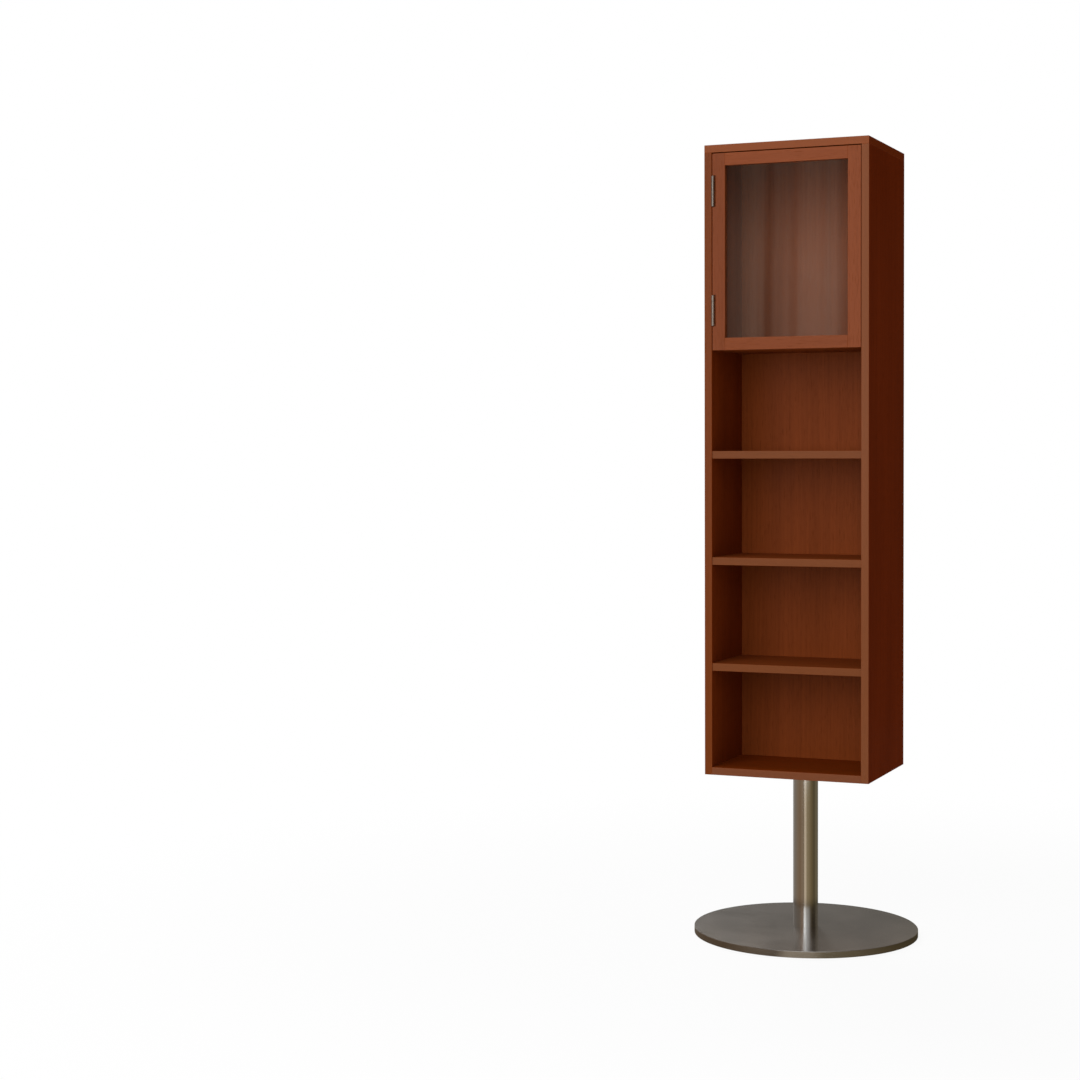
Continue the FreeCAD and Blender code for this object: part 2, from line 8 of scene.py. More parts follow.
import bmesh
import bpy
import math
import numpy as np
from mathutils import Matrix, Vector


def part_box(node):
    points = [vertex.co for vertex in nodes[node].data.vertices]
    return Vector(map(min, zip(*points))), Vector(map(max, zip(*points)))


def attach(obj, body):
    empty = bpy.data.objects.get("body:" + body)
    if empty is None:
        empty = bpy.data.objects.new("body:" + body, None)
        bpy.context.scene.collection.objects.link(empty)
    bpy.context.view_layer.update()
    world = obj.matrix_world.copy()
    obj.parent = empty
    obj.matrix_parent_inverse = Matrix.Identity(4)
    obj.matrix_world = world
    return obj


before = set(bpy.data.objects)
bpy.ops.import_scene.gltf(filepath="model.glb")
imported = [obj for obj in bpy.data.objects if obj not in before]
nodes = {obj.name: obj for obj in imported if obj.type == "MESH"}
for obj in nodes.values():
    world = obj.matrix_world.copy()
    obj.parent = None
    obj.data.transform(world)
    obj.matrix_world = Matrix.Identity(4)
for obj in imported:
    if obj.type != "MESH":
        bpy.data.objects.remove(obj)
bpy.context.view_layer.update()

# %% [markdown]
# ## Camera
#
# Furniture is usually shot from well back with a long lens, so that its upright edges stay upright. The
# camera stands a little over a metre up, five metres away and to the right of the cabinet's front. It
# looks down by only a degree and a half, and a small downward shift of the lens brings in the rest of the
# foot, which keeps the uprights nearly parallel.

# %% Camera
def add_object(name, data, place=(0, 0, 0)):
    """Puts a new object into the scene."""
    made = bpy.data.objects.new(name, data)
    made.location = place
    bpy.context.scene.collection.objects.link(made)
    return made


camera_place = (1.4546, -5.0112, 1.180)
camera_angles = (88.4316, 0.1795, 23.2697)
lens = bpy.data.cameras.new("camera")
lens.lens, lens.sensor_width, lens.shift_y = 71.255, 36.0, -0.03
lens.clip_end = 200
camera = add_object("camera", lens, camera_place)
camera.rotation_euler = [math.radians(angle) for angle in camera_angles]
bpy.context.scene.camera = camera
print(f"the camera is {camera.location.length:.2f} m from the middle of the foot")

# %% [markdown]
# ## A way to write shaders
#
# A material in Blender is a graph of nodes. Wiring dozens of them by hand is slow to read, so here is a
# small wrapper: a `Wire` is a socket that can be used in ordinary sums, and each sum adds its Math node.
# Everything else is made by one method, `node`, which sets a node's options first and then fills or links
# its inputs. A finish then reads like the formula it is.

# %% Wires
class Wire:
    """An output socket that takes part in sums: each operator adds one Math node."""

    def __init__(self, finish, socket):
        self.finish, self.socket = finish, socket

    def math(self, operation, *others):
        values = dict(enumerate([self, *others]))
        return self.finish.node("Math", {"operation": operation}, values)

    def __add__(self, other):
        return self.math("ADD", other)

    def __sub__(self, other):
        return self.math("SUBTRACT", other)

    def __rsub__(self, other):
        return self.finish.node("Math", {"operation": "SUBTRACT"}, {0: other, 1: self})

    def __mul__(self, other):
        return self.math("MULTIPLY", other)

    def __pow__(self, other):
        return self.math("POWER", other)

    __radd__, __rmul__ = __add__, __mul__

    def most(self, other):
        return self.math("MAXIMUM", other)

    def least(self, other):
        return self.math("MINIMUM", other)

    def step(self, start, end):
        """0 before start and 1 after end, with a smooth slope between them."""
        settings = {"interpolation_type": "SMOOTHSTEP"}
        return self.finish.node("MapRange", settings, {"Value": self, "From Min": start, "From Max": end})


print("a wire can be added, multiplied, raised and compared")

# %% Finishes
class Finish:
    """A material or world and its nodes."""

    def __init__(self, owner):
        owner.use_nodes = True
        self.owner, self.tree = owner, owner.node_tree
        self.tree.nodes.clear()

    def node(self, kind, settings=None, values=None, out=0):
        """Makes any node: its settings, then the value or link of each input. Gives one output."""
        made = self.tree.nodes.new("ShaderNode" + kind)
        for key, value in (settings or {}).items():
            if key == "stops":
                while len(made.color_ramp.elements) < len(value):
                    made.color_ramp.elements.new(0.5)
                for element, (position, colour) in zip(made.color_ramp.elements, value):
                    element.position, element.color = position, (*colour, 1)
            else:
                setattr(made, key, value)
        for key, value in (values or {}).items():
            if isinstance(value, Wire):
                self.tree.links.new(value.socket, made.inputs[key])
            else:
                made.inputs[key].default_value = value
        return Wire(self, made.outputs[out]) if made.outputs else made

    def place(self):
        """Where a point is on the object, in metres."""
        return self.node("TexCoord", out="Object")

    def axes(self, vector):
        """The x, y and z of a vector."""
        split = self.node("SeparateXYZ", values={0: vector}).socket.node
        return [Wire(self, output) for output in split.outputs]

    def rays(self, *kinds):
        """For each kind of ray, 1 where such a ray asks and 0 where another does."""
        path = self.node("LightPath").socket.node
        return [Wire(self, path.outputs[f"Is {kind} Ray"]) for kind in kinds]

    def stretched(self, vector, scale, seed=0.0):
        """A vector scaled along each axis, and moved to a part of the pattern of its own."""
        move = (seed * 1.7, seed * 2.3, seed * 3.1)
        return self.node("Mapping", values={"Vector": vector, "Scale": scale, "Location": move})

    def noise(self, vector, detail=2.0, rough=0.5, bend=0.0):
        """Soft noise from 0 to 1, one unit of the vector to a lump."""
        return self.node("TexNoise", values={
            "Vector": vector, "Scale": 1.0, "Detail": detail, "Roughness": rough, "Distortion": bend})

    def mix(self, factor, a, b):
        """Two colours mixed."""
        colours = [(*c, 1) if isinstance(c, tuple) else c for c in (a, b)]
        return self.node("Mix", {"data_type": "RGBA"}, {0: factor, 6: colours[0], 7: colours[1]}, out=2)

    def scaled(self, colour, amount):
        """A colour made brighter or darker."""
        return self.node("VectorMath", {"operation": "SCALE"}, {0: colour, "Scale": amount})

    def bump(self, height, depth):
        """A Bump node's normal, for a height from 0 to 1 that stands for depth metres."""
        return self.node("Bump", values={"Height": height, "Strength": 1.0, "Distance": depth})

    def surface(self, **values):
        """A Principled shader, wired to the output. A name's underscores stand for spaces."""
        named = {key.replace("_", " "): value for key, value in values.items()}
        for key, value in named.items():
            if isinstance(value, tuple) and len(value) == 3:
                named[key] = (*value, 1)
        self.show(self.node("BsdfPrincipled", values=named))

    def show(self, shader):
        """Wires a shader to the material's output."""
        self.node("OutputMaterial", values={"Surface": shader})


def new_finish(name):
    return Finish(bpy.data.materials.new(name))


print("a finish can make any node and show a shader")

# %% [markdown]
# ## The studio
#
# The light is that of a furniture catalogue: one very large soft lamp, nearly straight in front of the
# cabinet and not far above it, a weaker one behind on the left so that the mirror side isn't black, and an
# even pale glow from the world. The lamps are sized so that a colour renders about as bright as it is
# written. The world is plain white to the camera, to metal and to glass, but dimmer where it lights
# things, or it would wash the wood out.

# %% Lamps and world
aim_height, lamp_distance = 1.0, 5.0


def soft_lamp(name, azimuth, elevation, size, power):
    """A square area lamp aimed at the cabinet's middle, at angles in degrees seen from there."""
    data = bpy.data.lights.new(name, "AREA")
    data.size, data.energy = size, power
    a, e = math.radians(azimuth), math.radians(elevation)
    away = np.array([math.cos(a) * math.cos(e), math.sin(a) * math.cos(e), math.sin(e)])
    lamp = add_object(name, data, away * lamp_distance + (0, 0, aim_height))
    lamp.rotation_euler = (math.pi / 2 - e, 0, a + math.pi / 2)


def make_world(glow):
    """White to the camera, metal and glass, and a grey glow for what it lights."""
    world = Finish(bpy.context.scene.world or bpy.data.worlds.new("studio"))
    bpy.context.scene.world = world.owner
    seen, mirrored, passed = world.rays("Camera", "Glossy", "Transmission")
    shade = world.mix(seen.most(mirrored).most(passed), (glow, glow, glow), (1, 1, 1))
    world.node("OutputWorld", values={"Surface": world.node("Background", values={"Color": shade})})


soft_lamp("key_lamp", azimuth=-96, elevation=21, size=4.4, power=186)
soft_lamp("back_lamp", azimuth=128, elevation=30, size=2.6, power=110)
make_world(glow=0.38)
bpy.context.scene.view_settings.view_transform = "Standard"
print("two lamps and a pale world")

# %% [markdown]
# ## Floor
#
# The floor is a plain pale sheet. Far away it fades into the white behind it, and near the cabinet it keeps
# the soft shadow that says the foot stands on it. The camera sees it almost white throughout, while what it
# throws back on to the cabinet is ordinary matt light. It is a surface on a grid, as every new piece here
# will be: whole arrays of points are worked out at once, and one helper joins them up with faces.

# %% Floor
def grid_mesh(name, points, wrap=False):
    """A mesh of four-sided faces from an array of points (rows, columns, 3).

    Each face joins a point to the next in its row and column; wrap joins the last column to the first.
    """
    rows, columns = points.shape[:2]
    index = np.arange(rows * columns).reshape(rows, columns)
    if wrap:
        index = np.hstack([index, index[:, :1]])
    corners = np.stack([index[:-1, :-1], index[:-1, 1:], index[1:, 1:], index[1:, :-1]], axis=-1)
    mesh = bpy.data.meshes.new(name)
    mesh.from_pydata(points.reshape(-1, 3), [], corners.reshape(-1, 4).tolist())
    return mesh


def floor_points(half, level):
    """A flat square: both parameters run from -half to half, and the height is the same all over."""
    across, along = np.meshgrid(np.linspace(-half, half, 9), np.linspace(-half, half, 9))
    return np.stack([across, along, np.full_like(across, level)], axis=-1)


def floor_finish():
    """A pale matt floor that turns to plain white away from the cabinet, except where it lights things."""
    floor = new_finish("pale_floor")
    x, y, _ = floor.axes(floor.place())
    away = ((x * x + y * y) ** 0.5).step(0.7, 2.4)
    seen, mirrored, passed = floor.rays("Camera", "Glossy", "Transmission")
    matt = floor.node("BsdfDiffuse", values={"Color": (0.86, 0.86, 0.86, 1)})
    white = floor.node("Emission", values={"Color": (1, 1, 1, 1)})
    share = (seen * (0.92 + 0.08 * away)).most(mirrored.most(passed) * away)
    floor.show(floor.node("MixShader", values={0: share, 1: matt, 2: white}))
    return floor.owner


floor = add_object("floor", grid_mesh("floor", floor_points(half=30, level=-0.0004)))
floor.data.materials.append(floor_finish())
print("the floor is", floor.dimensions.x, "m wide")

# %% [markdown]
# ## A curtain for the reflections
#
# Steel, glass and mirror look like grey paint unless they have something to reflect, so a curtain hangs
# round the cabinet where only reflections see it. It is no lamp but a glowing sheet, and every light or dark
# stretch on it is a painted reflection. It is one surface of revolution in three zones, because each piece
# looks at it at another height. The lowest is a skirt that starts just outside the foot's rim and slopes
# outwards like a floor that rises a little. The rim and the upright pole mirror it, so it has painted light
# and dark stretches and one narrow painted window. Above it, a low belt is mirrored by the flat foot, and a
# second time by the pole's lower end: its one strong painted window, with a nearly black stretch to the
# right, gives the steel its contrast as a painted highlight and a painted dark streak. The rest is a taupe
# cloth in soft folds, with an uneven hem and painted dimmer near the ceiling, for the mirror, the pane and
# the varnish. The skirt is painted darker by the foot's rim.

# %% The curtain's shape
rim_gap, floor_gap = 0.0015, 0.0006
foot_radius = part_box("base_cover")[1].x
curtain_radius, skirt_height, curtain_height = 1.2, 0.14, 3.0
curtain_profile = [(foot_radius + rim_gap, floor_gap), (curtain_radius, skirt_height),
                   (curtain_radius, curtain_height)]


def curtain_points(profile):
    """A profile of (radius, height) corners carried once round the upright axis: a skirt, then a wall."""
    radius, level = np.array(profile).T[:, :, None]
    turn = np.linspace(0, 2 * np.pi, 96, endpoint=False)
    return np.stack([radius * np.cos(turn), radius * np.sin(turn), level + 0 * turn], axis=-1)


curtain = add_object("curtain", grid_mesh("curtain", curtain_points(curtain_profile), wrap=True))
print("the curtain is", 2 * curtain_radius, "m across")

# %% The curtain's light and dark
# The painted light and dark of each zone by direction, in degrees from +X towards +Y
skirt_light = [
    (-180, (0.33, 0.28, 0.23)), (-150, (0.34, 0.25, 0.17)), (-123, (0.31, 0.21, 0.13)),
    (-105, (0.38, 0.28, 0.19)), (-90, (0.32, 0.24, 0.16)), (-84, (0.86, 0.72, 0.54)),
    (-71, (0.86, 0.72, 0.54)), (-64, (0.46, 0.37, 0.23)), (-45, (0.37, 0.29, 0.17)),
    (-20, (0.24, 0.18, 0.09)), (10, (0.14, 0.11, 0.06)), (34, (0.24, 0.20, 0.12)),
    (96, (0.18, 0.165, 0.14)), (122, (0.17, 0.155, 0.14)), (142, (0.46, 0.44, 0.41)),
    (172, (0.33, 0.28, 0.23)), (180, (0.33, 0.28, 0.23))]
belt_light = [
    (-180, (0.40, 0.39, 0.38)), (-125, (0.38, 0.35, 0.31)), (-116, (0.44, 0.28, 0.17)),
    (-94, (0.48, 0.33, 0.21)), (-89, (3.60, 3.90, 4.20)), (-80, (3.60, 3.90, 4.20)),
    (-64, (1.60, 1.75, 1.90)), (-46, (1.10, 1.18, 1.26)), (-30, (0.30, 0.30, 0.30)),
    (-14, (0.01, 0.01, 0.01)), (16, (0.01, 0.01, 0.01)), (42, (0.25, 0.22, 0.17)),
    (80, (0.24, 0.22, 0.18)), (94, (0.125, 0.123, 0.116)), (122, (0.118, 0.112, 0.100)),
    (145, (0.40, 0.38, 0.36)), (180, (0.40, 0.39, 0.38))]
cloth_light = [
    (-180, (0.29, 0.23, 0.18)), (-112, (0.215, 0.13, 0.09)), (-107, (0.37, 0.275, 0.215)),
    (-60, (0.37, 0.275, 0.215)), (0, (0.18, 0.14, 0.11)), (50, (0.14, 0.11, 0.088)),
    (90, (0.29, 0.235, 0.19)), (180, (0.29, 0.23, 0.18))]
print("the curtain has", len(skirt_light + belt_light + cloth_light), "stops of light and dark")

# %% The curtain's finish
# Each change is a smooth step from its start to its end, in metres: out from the axis by the rim, and
# upwards for the others
shade_by_the_rim = (0.31, 0.38)
skirt_to_belt = (0.215, 0.245)
belt_to_cloth = (0.385, 0.405)
shade_under_the_ceiling = (1.68, 1.97)


def curtain_finish():
    """A painted glow, no lamp, which only reflections see; it follows the direction in each zone.

    The cloth's brightness is a sum of broad folds, which sway a little on their way up, and fine creases,
    dimmed near the ceiling. The broad folds also raise and lower the hem. The skirt is darker by the
    foot's rim.
    """
    curtain = new_finish("painted_reflection_curtain")
    x, y, z = curtain.axes(curtain.place())
    turn = y.math("ARCTAN2", x)

    def ramp(light):
        stops = [((angle + 180) / 360, colour) for angle, colour in light]
        return curtain.node("ValToRGB", {"stops": stops}, {0: turn * (0.5 / math.pi) + 0.5})

    def folds(across, up, slide=0.0, **noise):
        place = curtain.node("CombineXYZ", values={0: turn * across + slide, 1: z * up})
        return curtain.noise(place, **noise)

    sway = folds(3.0, 0.6, detail=1.0) * 1.2 + 3.1
    broad = folds(21, 0.20, slide=sway, detail=1.0)
    creases = folds(75, 0.5, detail=2.0) - 0.5
    dimmed = 1 - 0.5 * z.step(*shade_under_the_ceiling)
    cloth_shade = (0.40 + 0.85 * broad.step(0.34, 0.66) + 0.5 * creases) * dimmed
    skirt_shade = 0.45 + 0.55 * ((x * x + y * y) ** 0.5).step(*shade_by_the_rim)
    cloth = curtain.scaled(ramp(cloth_light), cloth_shade)
    skirt = curtain.scaled(ramp(skirt_light), skirt_shade)
    lower = curtain.mix(z.step(*skirt_to_belt), skirt, ramp(belt_light))
    colour = curtain.mix((z + 0.05 * broad).step(*belt_to_cloth), lower, cloth)
    curtain.show(curtain.node("Emission", values={"Color": colour, "Strength": 1.0}))
    return curtain.owner


curtain.data.materials.append(curtain_finish())
for ray in ("camera", "diffuse", "transmission", "volume_scatter", "shadow"):
    setattr(curtain, "visible_" + ray, False)
print("only reflections see the curtain:", curtain.visible_glossy)

# %% [markdown]
# ## Wood
#
# The carcass is chipboard under a thin sheet of stained cherry, and the door's frame is solid wood of the
# same stain. The grain of each board runs along its length: upright in the sides, the back and the door's
# stiles, level in the shelves and rails. A picture wrapped round the boards would repeat and stretch, so
# the grain is worked out in space instead: bands bent by slow noise for the growth rings, fine noise drawn
# out along the grain for the fibres, and short dark dashes for the pores. On a board's ends, where an edging
# strip is glued on, the pattern is turned so that it runs along the strip. The strips on the front have
# tones of their own and a little more varnish: partly their own stain, and partly painted light, paler on
# the top board and duller on the bottom board and the left side. The two sides and the bottom board carry
# painted shade in more saturated tones, darker on the right side and the bottom, and the top board's end
# strips are painted as dark as that shade.

# %% Wood helpers
def facing(wood, axis):
    """1 on the two faces that look along an axis, and 0 on the others."""
    return wood.axes(wood.node("TexCoord", out="Normal"))[axis].math("ABSOLUTE").step(0.6, 0.8)


def turned_on_ends(wood, along):
    """The place on a board with its grain along the given axis, and across it on the two end faces."""
    place = wood.place()
    parts = wood.axes(place)
    other = 1 if along != 1 else 0
    order = [0, 1, 2]
    order[along], order[other] = other, along
    swapped = wood.node("CombineXYZ", values={i: parts[order[i]] for i in range(3)})
    return wood.node("Mix", {"data_type": "VECTOR"}, {0: facing(wood, along), 4: place, 5: swapped}, out=1)


def rubbed_edges(wood, corners, reach):
    """1 on a board's edges, falling to 0 at the reach from them.

    On a board's surface the distance to one face is nothing, so the distance to its nearest edge is
    the least of the greater of each two distances.
    """
    sides = zip(wood.axes(wood.place()), *corners)
    x, y, z = [(axis - low).least(high - axis) for axis, low, high in sides]
    return 1 - x.most(y).least(y.most(z)).least(x.most(z)).step(0.0, reach)


def dress(name, material):
    """Puts a finish on every face of a CAD node."""
    slots = nodes[name].material_slots
    if not slots:
        nodes[name].data.materials.append(material)
    for slot in slots:
        slot.link, slot.material = "OBJECT", material


print("a board's grain can turn on its ends, and its edges can be rubbed")

# %% The finish of stained wood
growth_ring, edge_wear = 0.011, 0.0022
edging_varnish = 0.26


def wood_finish(name, along, pale, deep, seed, ring=growth_ring, varnish=0.22, edging=None, ends=None):
    """Stained wood: growth bands, fibres, pores, slow changes of tone, and edges rubbed a little paler.

    The bands are a sine of the distance across the board, one to each ring, bent by slow noise. A tone for
    the edging, partly the strip's stain and partly painted light, is mixed in on the faces that look forwards
    and back, and a painted shade for the ends on the ends.
    """
    wood = new_finish(name)
    place = turned_on_ends(wood, along)

    def grain(across, lengthways, extra=0.0, **noise):
        scale = [across] * 3
        scale[along] = lengthways
        return wood.noise(wood.stretched(place, scale, seed + extra), **noise)

    sides = [axis for i, axis in enumerate(wood.axes(place)) if i != along]
    bend = grain(5.0, 0.5, detail=1.5) * 60 + seed
    bands = ((sides[0] + 0.7 * sides[1]) * (2 * math.pi / ring) + bend).math("SINE") * 0.5 + 0.5
    streaks = grain(70, 1.1, extra=1.9, detail=4.0, rough=0.6)
    fibres = grain(420, 7.0, extra=3.3, detail=3.0, rough=0.65)
    pores = grain(900, 34.0, extra=7.1, detail=1.0).step(0.60, 0.72)
    cloud = grain(9.0, 1.6, extra=5.2, detail=2.0)
    tone = 0.5
    for layer, share in ((bands, 0.08), (streaks, 0.62), (fibres, 0.36), (cloud, 0.6)):
        tone = tone + (layer - 0.5) * share
    colour = wood.mix(tone.least(1).most(0), deep, pale)
    colour = wood.mix(pores * 0.35, colour, tuple(c * 0.45 for c in deep))
    edges = rubbed_edges(wood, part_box(name), edge_wear)
    colour = wood.mix(edges * 0.22, colour, tuple(c * 1.5 + 0.02 for c in pale))
    gloss = varnish * (1 - 0.6 * pores)
    if edging:
        strip = facing(wood, 1) * 0.6
        colour = wood.mix(strip, colour, edging)
        gloss = gloss + (edging_varnish - varnish) * strip
    if ends:
        colour = wood.mix(facing(wood, along) * 0.85, colour, ends)
    wood.surface(Base_Color=colour, Roughness=0.6 + (cloud - 0.5) * 0.2, Specular_IOR_Level=0.0,
                 Coat_Weight=gloss, Coat_Roughness=0.30, Normal=wood.bump(fibres * 0.6 - pores, 0.00006))
    return wood.owner


print("a growth ring is", growth_ring * 1000, "mm wide, and an edge is rubbed over", edge_wear * 1000, "mm")

# %% Dress the boards
veneer_pale, veneer_deep = (0.256, 0.055, 0.012), (0.140, 0.029, 0.0055)
# Painted shade: the two sides and the bottom board get more saturated tones, darker on the right side and the
# bottom
painted_shade_tones = {
    "side_left": [(0.250, 0.044, 0.006), (0.140, 0.021, 0.003)],
    "side_right": [(0.178, 0.023, 0.0022), (0.096, 0.011, 0.0010)],
    "bottom_panel": [(0.220, 0.038, 0.004), (0.120, 0.019, 0.002)]}
shelf_edging = (0.141, 0.050, 0.0165)
# The front strips' tones: partly their own stain, partly painted light, paler on the top board and duller on
# the bottom board and left side
edging_and_painted_light_tones = {
    "side_left": (0.13, 0.034, 0.004), "side_right": (0.21, 0.077, 0.027),
    "top_panel": (0.235, 0.065, 0.019), "bottom_panel": (0.165, 0.066, 0.031),
    "shelf_1": shelf_edging, "shelf_2": shelf_edging, "shelf_3": shelf_edging}
# Painted shade: the top board's end strips are as dark as the shaded right side
painted_shade_end_tones = {"top_panel": (0.148, 0.020, 0.0022)}
upright_boards = ["side_left", "side_right", "back_panel"]
level_boards = ["top_panel", "bottom_panel", "fixed_shelf", "shelf_1", "shelf_2", "shelf_3"]
for number, name in enumerate(upright_boards + level_boards):
    along = 2 if name in upright_boards else 0
    pale, deep = painted_shade_tones.get(name, [veneer_pale, veneer_deep])
    varnish = 0.14 if name == "side_left" else 0.05
    dress(name, wood_finish(name, along, pale, deep, seed=11.3 + 4.7 * number, varnish=varnish,
                            edging=edging_and_painted_light_tones.get(name), ends=painted_shade_end_tones.get(name)))
print("veneer on", len(upright_boards + level_boards), "boards")

# %% Dress the door's frame
solid_pale, solid_deep = (0.236, 0.054, 0.012), (0.165, 0.035, 0.007)
# Each stick's tones are scaled by its own factor: the top rail a little paler, the bottom rail and the hinge
# stile darker
door_sticks = [("door_stile_hinge", 2, 0.88), ("door_stile_lock", 2, 1.0),
               ("door_rail_bottom", 0, 0.93), ("door_rail_top", 0, 1.05)]
for number, (name, along, shade) in enumerate(door_sticks):
    pale, deep = [tuple(shade * c for c in tone) for tone in (solid_pale, solid_deep)]
    dress(name, wood_finish(name, along, pale, deep, seed=71.9 + 6.1 * number, ring=0.008))
dress("glazing_beads", wood_finish("glazing_beads", 2, solid_pale, solid_deep, seed=97.0, ring=0.006))
print("solid wood on", len(door_sticks) + 1, "nodes")

# %% [markdown]
# ## Raw wood out of sight
#
# The tongues, the battens and the board that carries the mirror are never seen in use, but a joiner would
# know them at once: pale beech tongues and battens with their grain along them, and brown fibreboard with
# no grain at all, only felted specks. They get quieter versions of the same ideas.

# %% Raw wood and fibreboard
def raw_finish(name, along, pale, deep, seed):
    """Planed bare wood: soft bands and fibres, and no varnish."""
    wood = new_finish(name)

    def grain(across, lengthways, extra=0.0, **noise):
        scale = [across] * 3
        scale[along] = lengthways
        return wood.noise(wood.stretched(wood.place(), scale, seed + extra), **noise)

    bands = grain(90, 3.0, detail=4.0, rough=0.6)
    fibres = grain(700, 20, extra=2, detail=2.0)
    colour = wood.mix(bands * 0.7 + fibres * 0.3, deep, pale)
    wood.surface(Base_Color=colour, Roughness=0.62 + 0.2 * fibres, Normal=wood.bump(fibres, 0.00005))
    return wood.owner


def fibreboard_finish():
    """Pressed fibres: fine pale and dark specks over a slow cloud."""
    board = new_finish("fibreboard")
    specks = board.noise(board.stretched(board.place(), (900, 900, 900)), detail=3.0, rough=0.7)
    cloud = board.noise(board.stretched(board.place(), (14, 14, 14)), detail=2.0)
    colour = board.mix(specks * 0.8 + cloud * 0.2, (0.20, 0.125, 0.07), (0.42, 0.29, 0.18))
    board.surface(Base_Color=colour, Roughness=0.78, Normal=board.bump(specks, 0.00004))
    return board.owner


beech_pale, beech_deep = (0.62, 0.41, 0.23), (0.46, 0.28, 0.14)
for name, along in [("top_tongues", 1), ("bottom_tongues", 1), ("shelf_tongues", 1), ("mirror_cleats", 2)]:
    dress(name, raw_finish(name, along, beech_pale, beech_deep, seed=3.0 + len(name)))
dress("mirror_board", fibreboard_finish())
print("raw wood on 5 nodes")

# %% [markdown]
# ## Steel
#
# The pole and the foot's cover are brushed stainless steel. Brushing leaves thousands of fine scratches that
# run one way: round the pole, where the tube turned against the belt, and in rings on the spun cover. The
# scratches are made by squeezing noise hard across them, and they drive the roughness, a very shallow bump
# and a trace of colour. The pole is the smoother of the two, so it mirrors crisper streaks.

# %% Steel
def brushed_finish(name, scratch_space, colour, rough=0.30, scratch=0.12, seed=0.0):
    """Brushed metal: scratches from the squeezed space, with slow stains where hands and cloths have been."""
    steel = new_finish(name)
    lines = steel.noise(scratch_space(steel), detail=4.0, rough=0.7)
    stains = steel.noise(steel.stretched(steel.place(), (7, 7, 5), seed), detail=3.0, rough=0.55)
    darker, paler = [tuple(c * amount for c in colour) for amount in (0.80, 1.12)]
    tone = steel.mix(lines * 0.5 + stains * 0.5, darker, paler)
    gloss = rough + (lines - 0.5) * scratch + (stains - 0.5) * 0.10
    steel.surface(Base_Color=tone, Metallic=1.0, Roughness=gloss, Normal=steel.bump(lines, 0.000012))
    return steel.owner


def round_the_pole(steel):
    """Squeezed along Z, so that the scratches run round the tube."""
    return steel.stretched(steel.place(), (24, 24, 1700))


def in_rings(steel):
    """The distance from the axis, squeezed, so that the scratches are rings."""
    x, y, z = steel.axes(steel.place())
    radius = (x * x + y * y) ** 0.5
    return steel.node("CombineXYZ", values={0: radius * 1500, 1: x * 5 + z * 400, 2: y * 5})


def along_z(steel):
    """Squeezed across X and Y, so that the scratches run up the piece."""
    return steel.stretched(steel.place(), (1500, 1500, 30))


dress("pole", brushed_finish("pole_steel", round_the_pole, (0.50, 0.48, 0.455), rough=0.11, scratch=0.08))
dress("base_cover", brushed_finish("cover_steel", in_rings, (0.48, 0.465, 0.45), rough=0.22, seed=4.0))
hinge_steel = brushed_finish("hinge_steel", along_z, (0.45, 0.43, 0.40), seed=9.0)
for name in ("hinge_cabinet_leaves", "hinge_door_leaves", "hinge_pins"):
    dress(name, hinge_steel)
print("brushed steel on 5 nodes")

# %% [markdown]
# ## The works under the cabinet
#
# Between the pole and the cabinet sit a black swivel plate, a bright spindle and a thrust bearing whose
# rollers run in a brass cage. Powder coat has a fine orange-peel skin, ground steel is clean and bright with
# the faintest lathe rings, brass is warmer and a little duller, and zinc plating has a bluish, cloudy look.

# %% Plate, bearing and screws
def coated_finish():
    """Black powder coat: tiny pebbles and a satin shine."""
    coat = new_finish("powder_coat")
    peel = coat.noise(coat.stretched(coat.place(), (750, 750, 750)), detail=2.0)
    dust = coat.noise(coat.stretched(coat.place(), (24, 24, 24)), detail=4.0, rough=0.6)
    colour = coat.mix(dust * 0.6, (0.012, 0.012, 0.014), (0.034, 0.033, 0.032))
    coat.surface(Base_Color=colour, Roughness=0.40 + 0.16 * dust, Normal=coat.bump(peel, 0.00008))
    return coat.owner


def plated_finish():
    """Zinc plate: bright, bluish, and clouded in patches."""
    zinc = new_finish("zinc_plate")
    cloud = zinc.noise(zinc.stretched(zinc.place(), (260, 260, 260)), detail=4.0, rough=0.6)
    colour = zinc.mix(cloud, (0.50, 0.52, 0.54), (0.72, 0.71, 0.66))
    zinc.surface(Base_Color=colour, Metallic=1.0, Roughness=0.26 + 0.22 * cloud)
    return zinc.owner


black_coat, zinc_plate = coated_finish(), plated_finish()
ground_steel = brushed_finish("ground_steel", in_rings, (0.66, 0.66, 0.67),
                              rough=0.16, scratch=0.08, seed=2.0)
cage_brass = brushed_finish("cage_brass", in_rings, (0.62, 0.43, 0.17), rough=0.28, seed=6.0)
works = [
    (black_coat, ["base_plate", "swivel_plate", "pole_foot"]),
    (ground_steel, ["spindle", "bearing_lower_race", "bearing_upper_race", "bearing_rollers"]),
    (cage_brass, ["bearing_cage"]),
    (zinc_plate, ["foot_screws", "swivel_screws", "retaining_screw", "strike_plate"])]
for finish, names in works:
    for name in names:
        dress(name, finish)
print("works:", sum(len(names) for finish, names in works), "nodes")

# %% [markdown]
# ## Plastics and rubber
#
# Each of these is small, and each has its own skin: turned acetal bushes with a waxy look, a brown moulded
# catch with a fine spark-eroded grain, a sintered magnet, black rubber glides with dust in their skin, and
# clear soft dots that the door closes on.

# %% Plastics, magnet and rubber
def moulded_finish(name, pale, deep, rough, grain_per_m, depth, clear=0.0):
    """Moulded or pressed stuff: a fine grain, and dust or wear in slow patches."""
    part = new_finish(name)
    grain = part.noise(part.stretched(part.place(), (grain_per_m,) * 3), detail=2.0)
    patch = part.noise(part.stretched(part.place(), (60, 60, 60), 2.0), detail=3.0)
    colour = part.mix(grain * 0.4 + patch * 0.6, deep, pale)
    part.surface(Base_Color=colour, Roughness=rough + 0.14 * (patch - 0.5), Transmission_Weight=clear,
                 Normal=part.bump(grain, depth))
    return part.owner


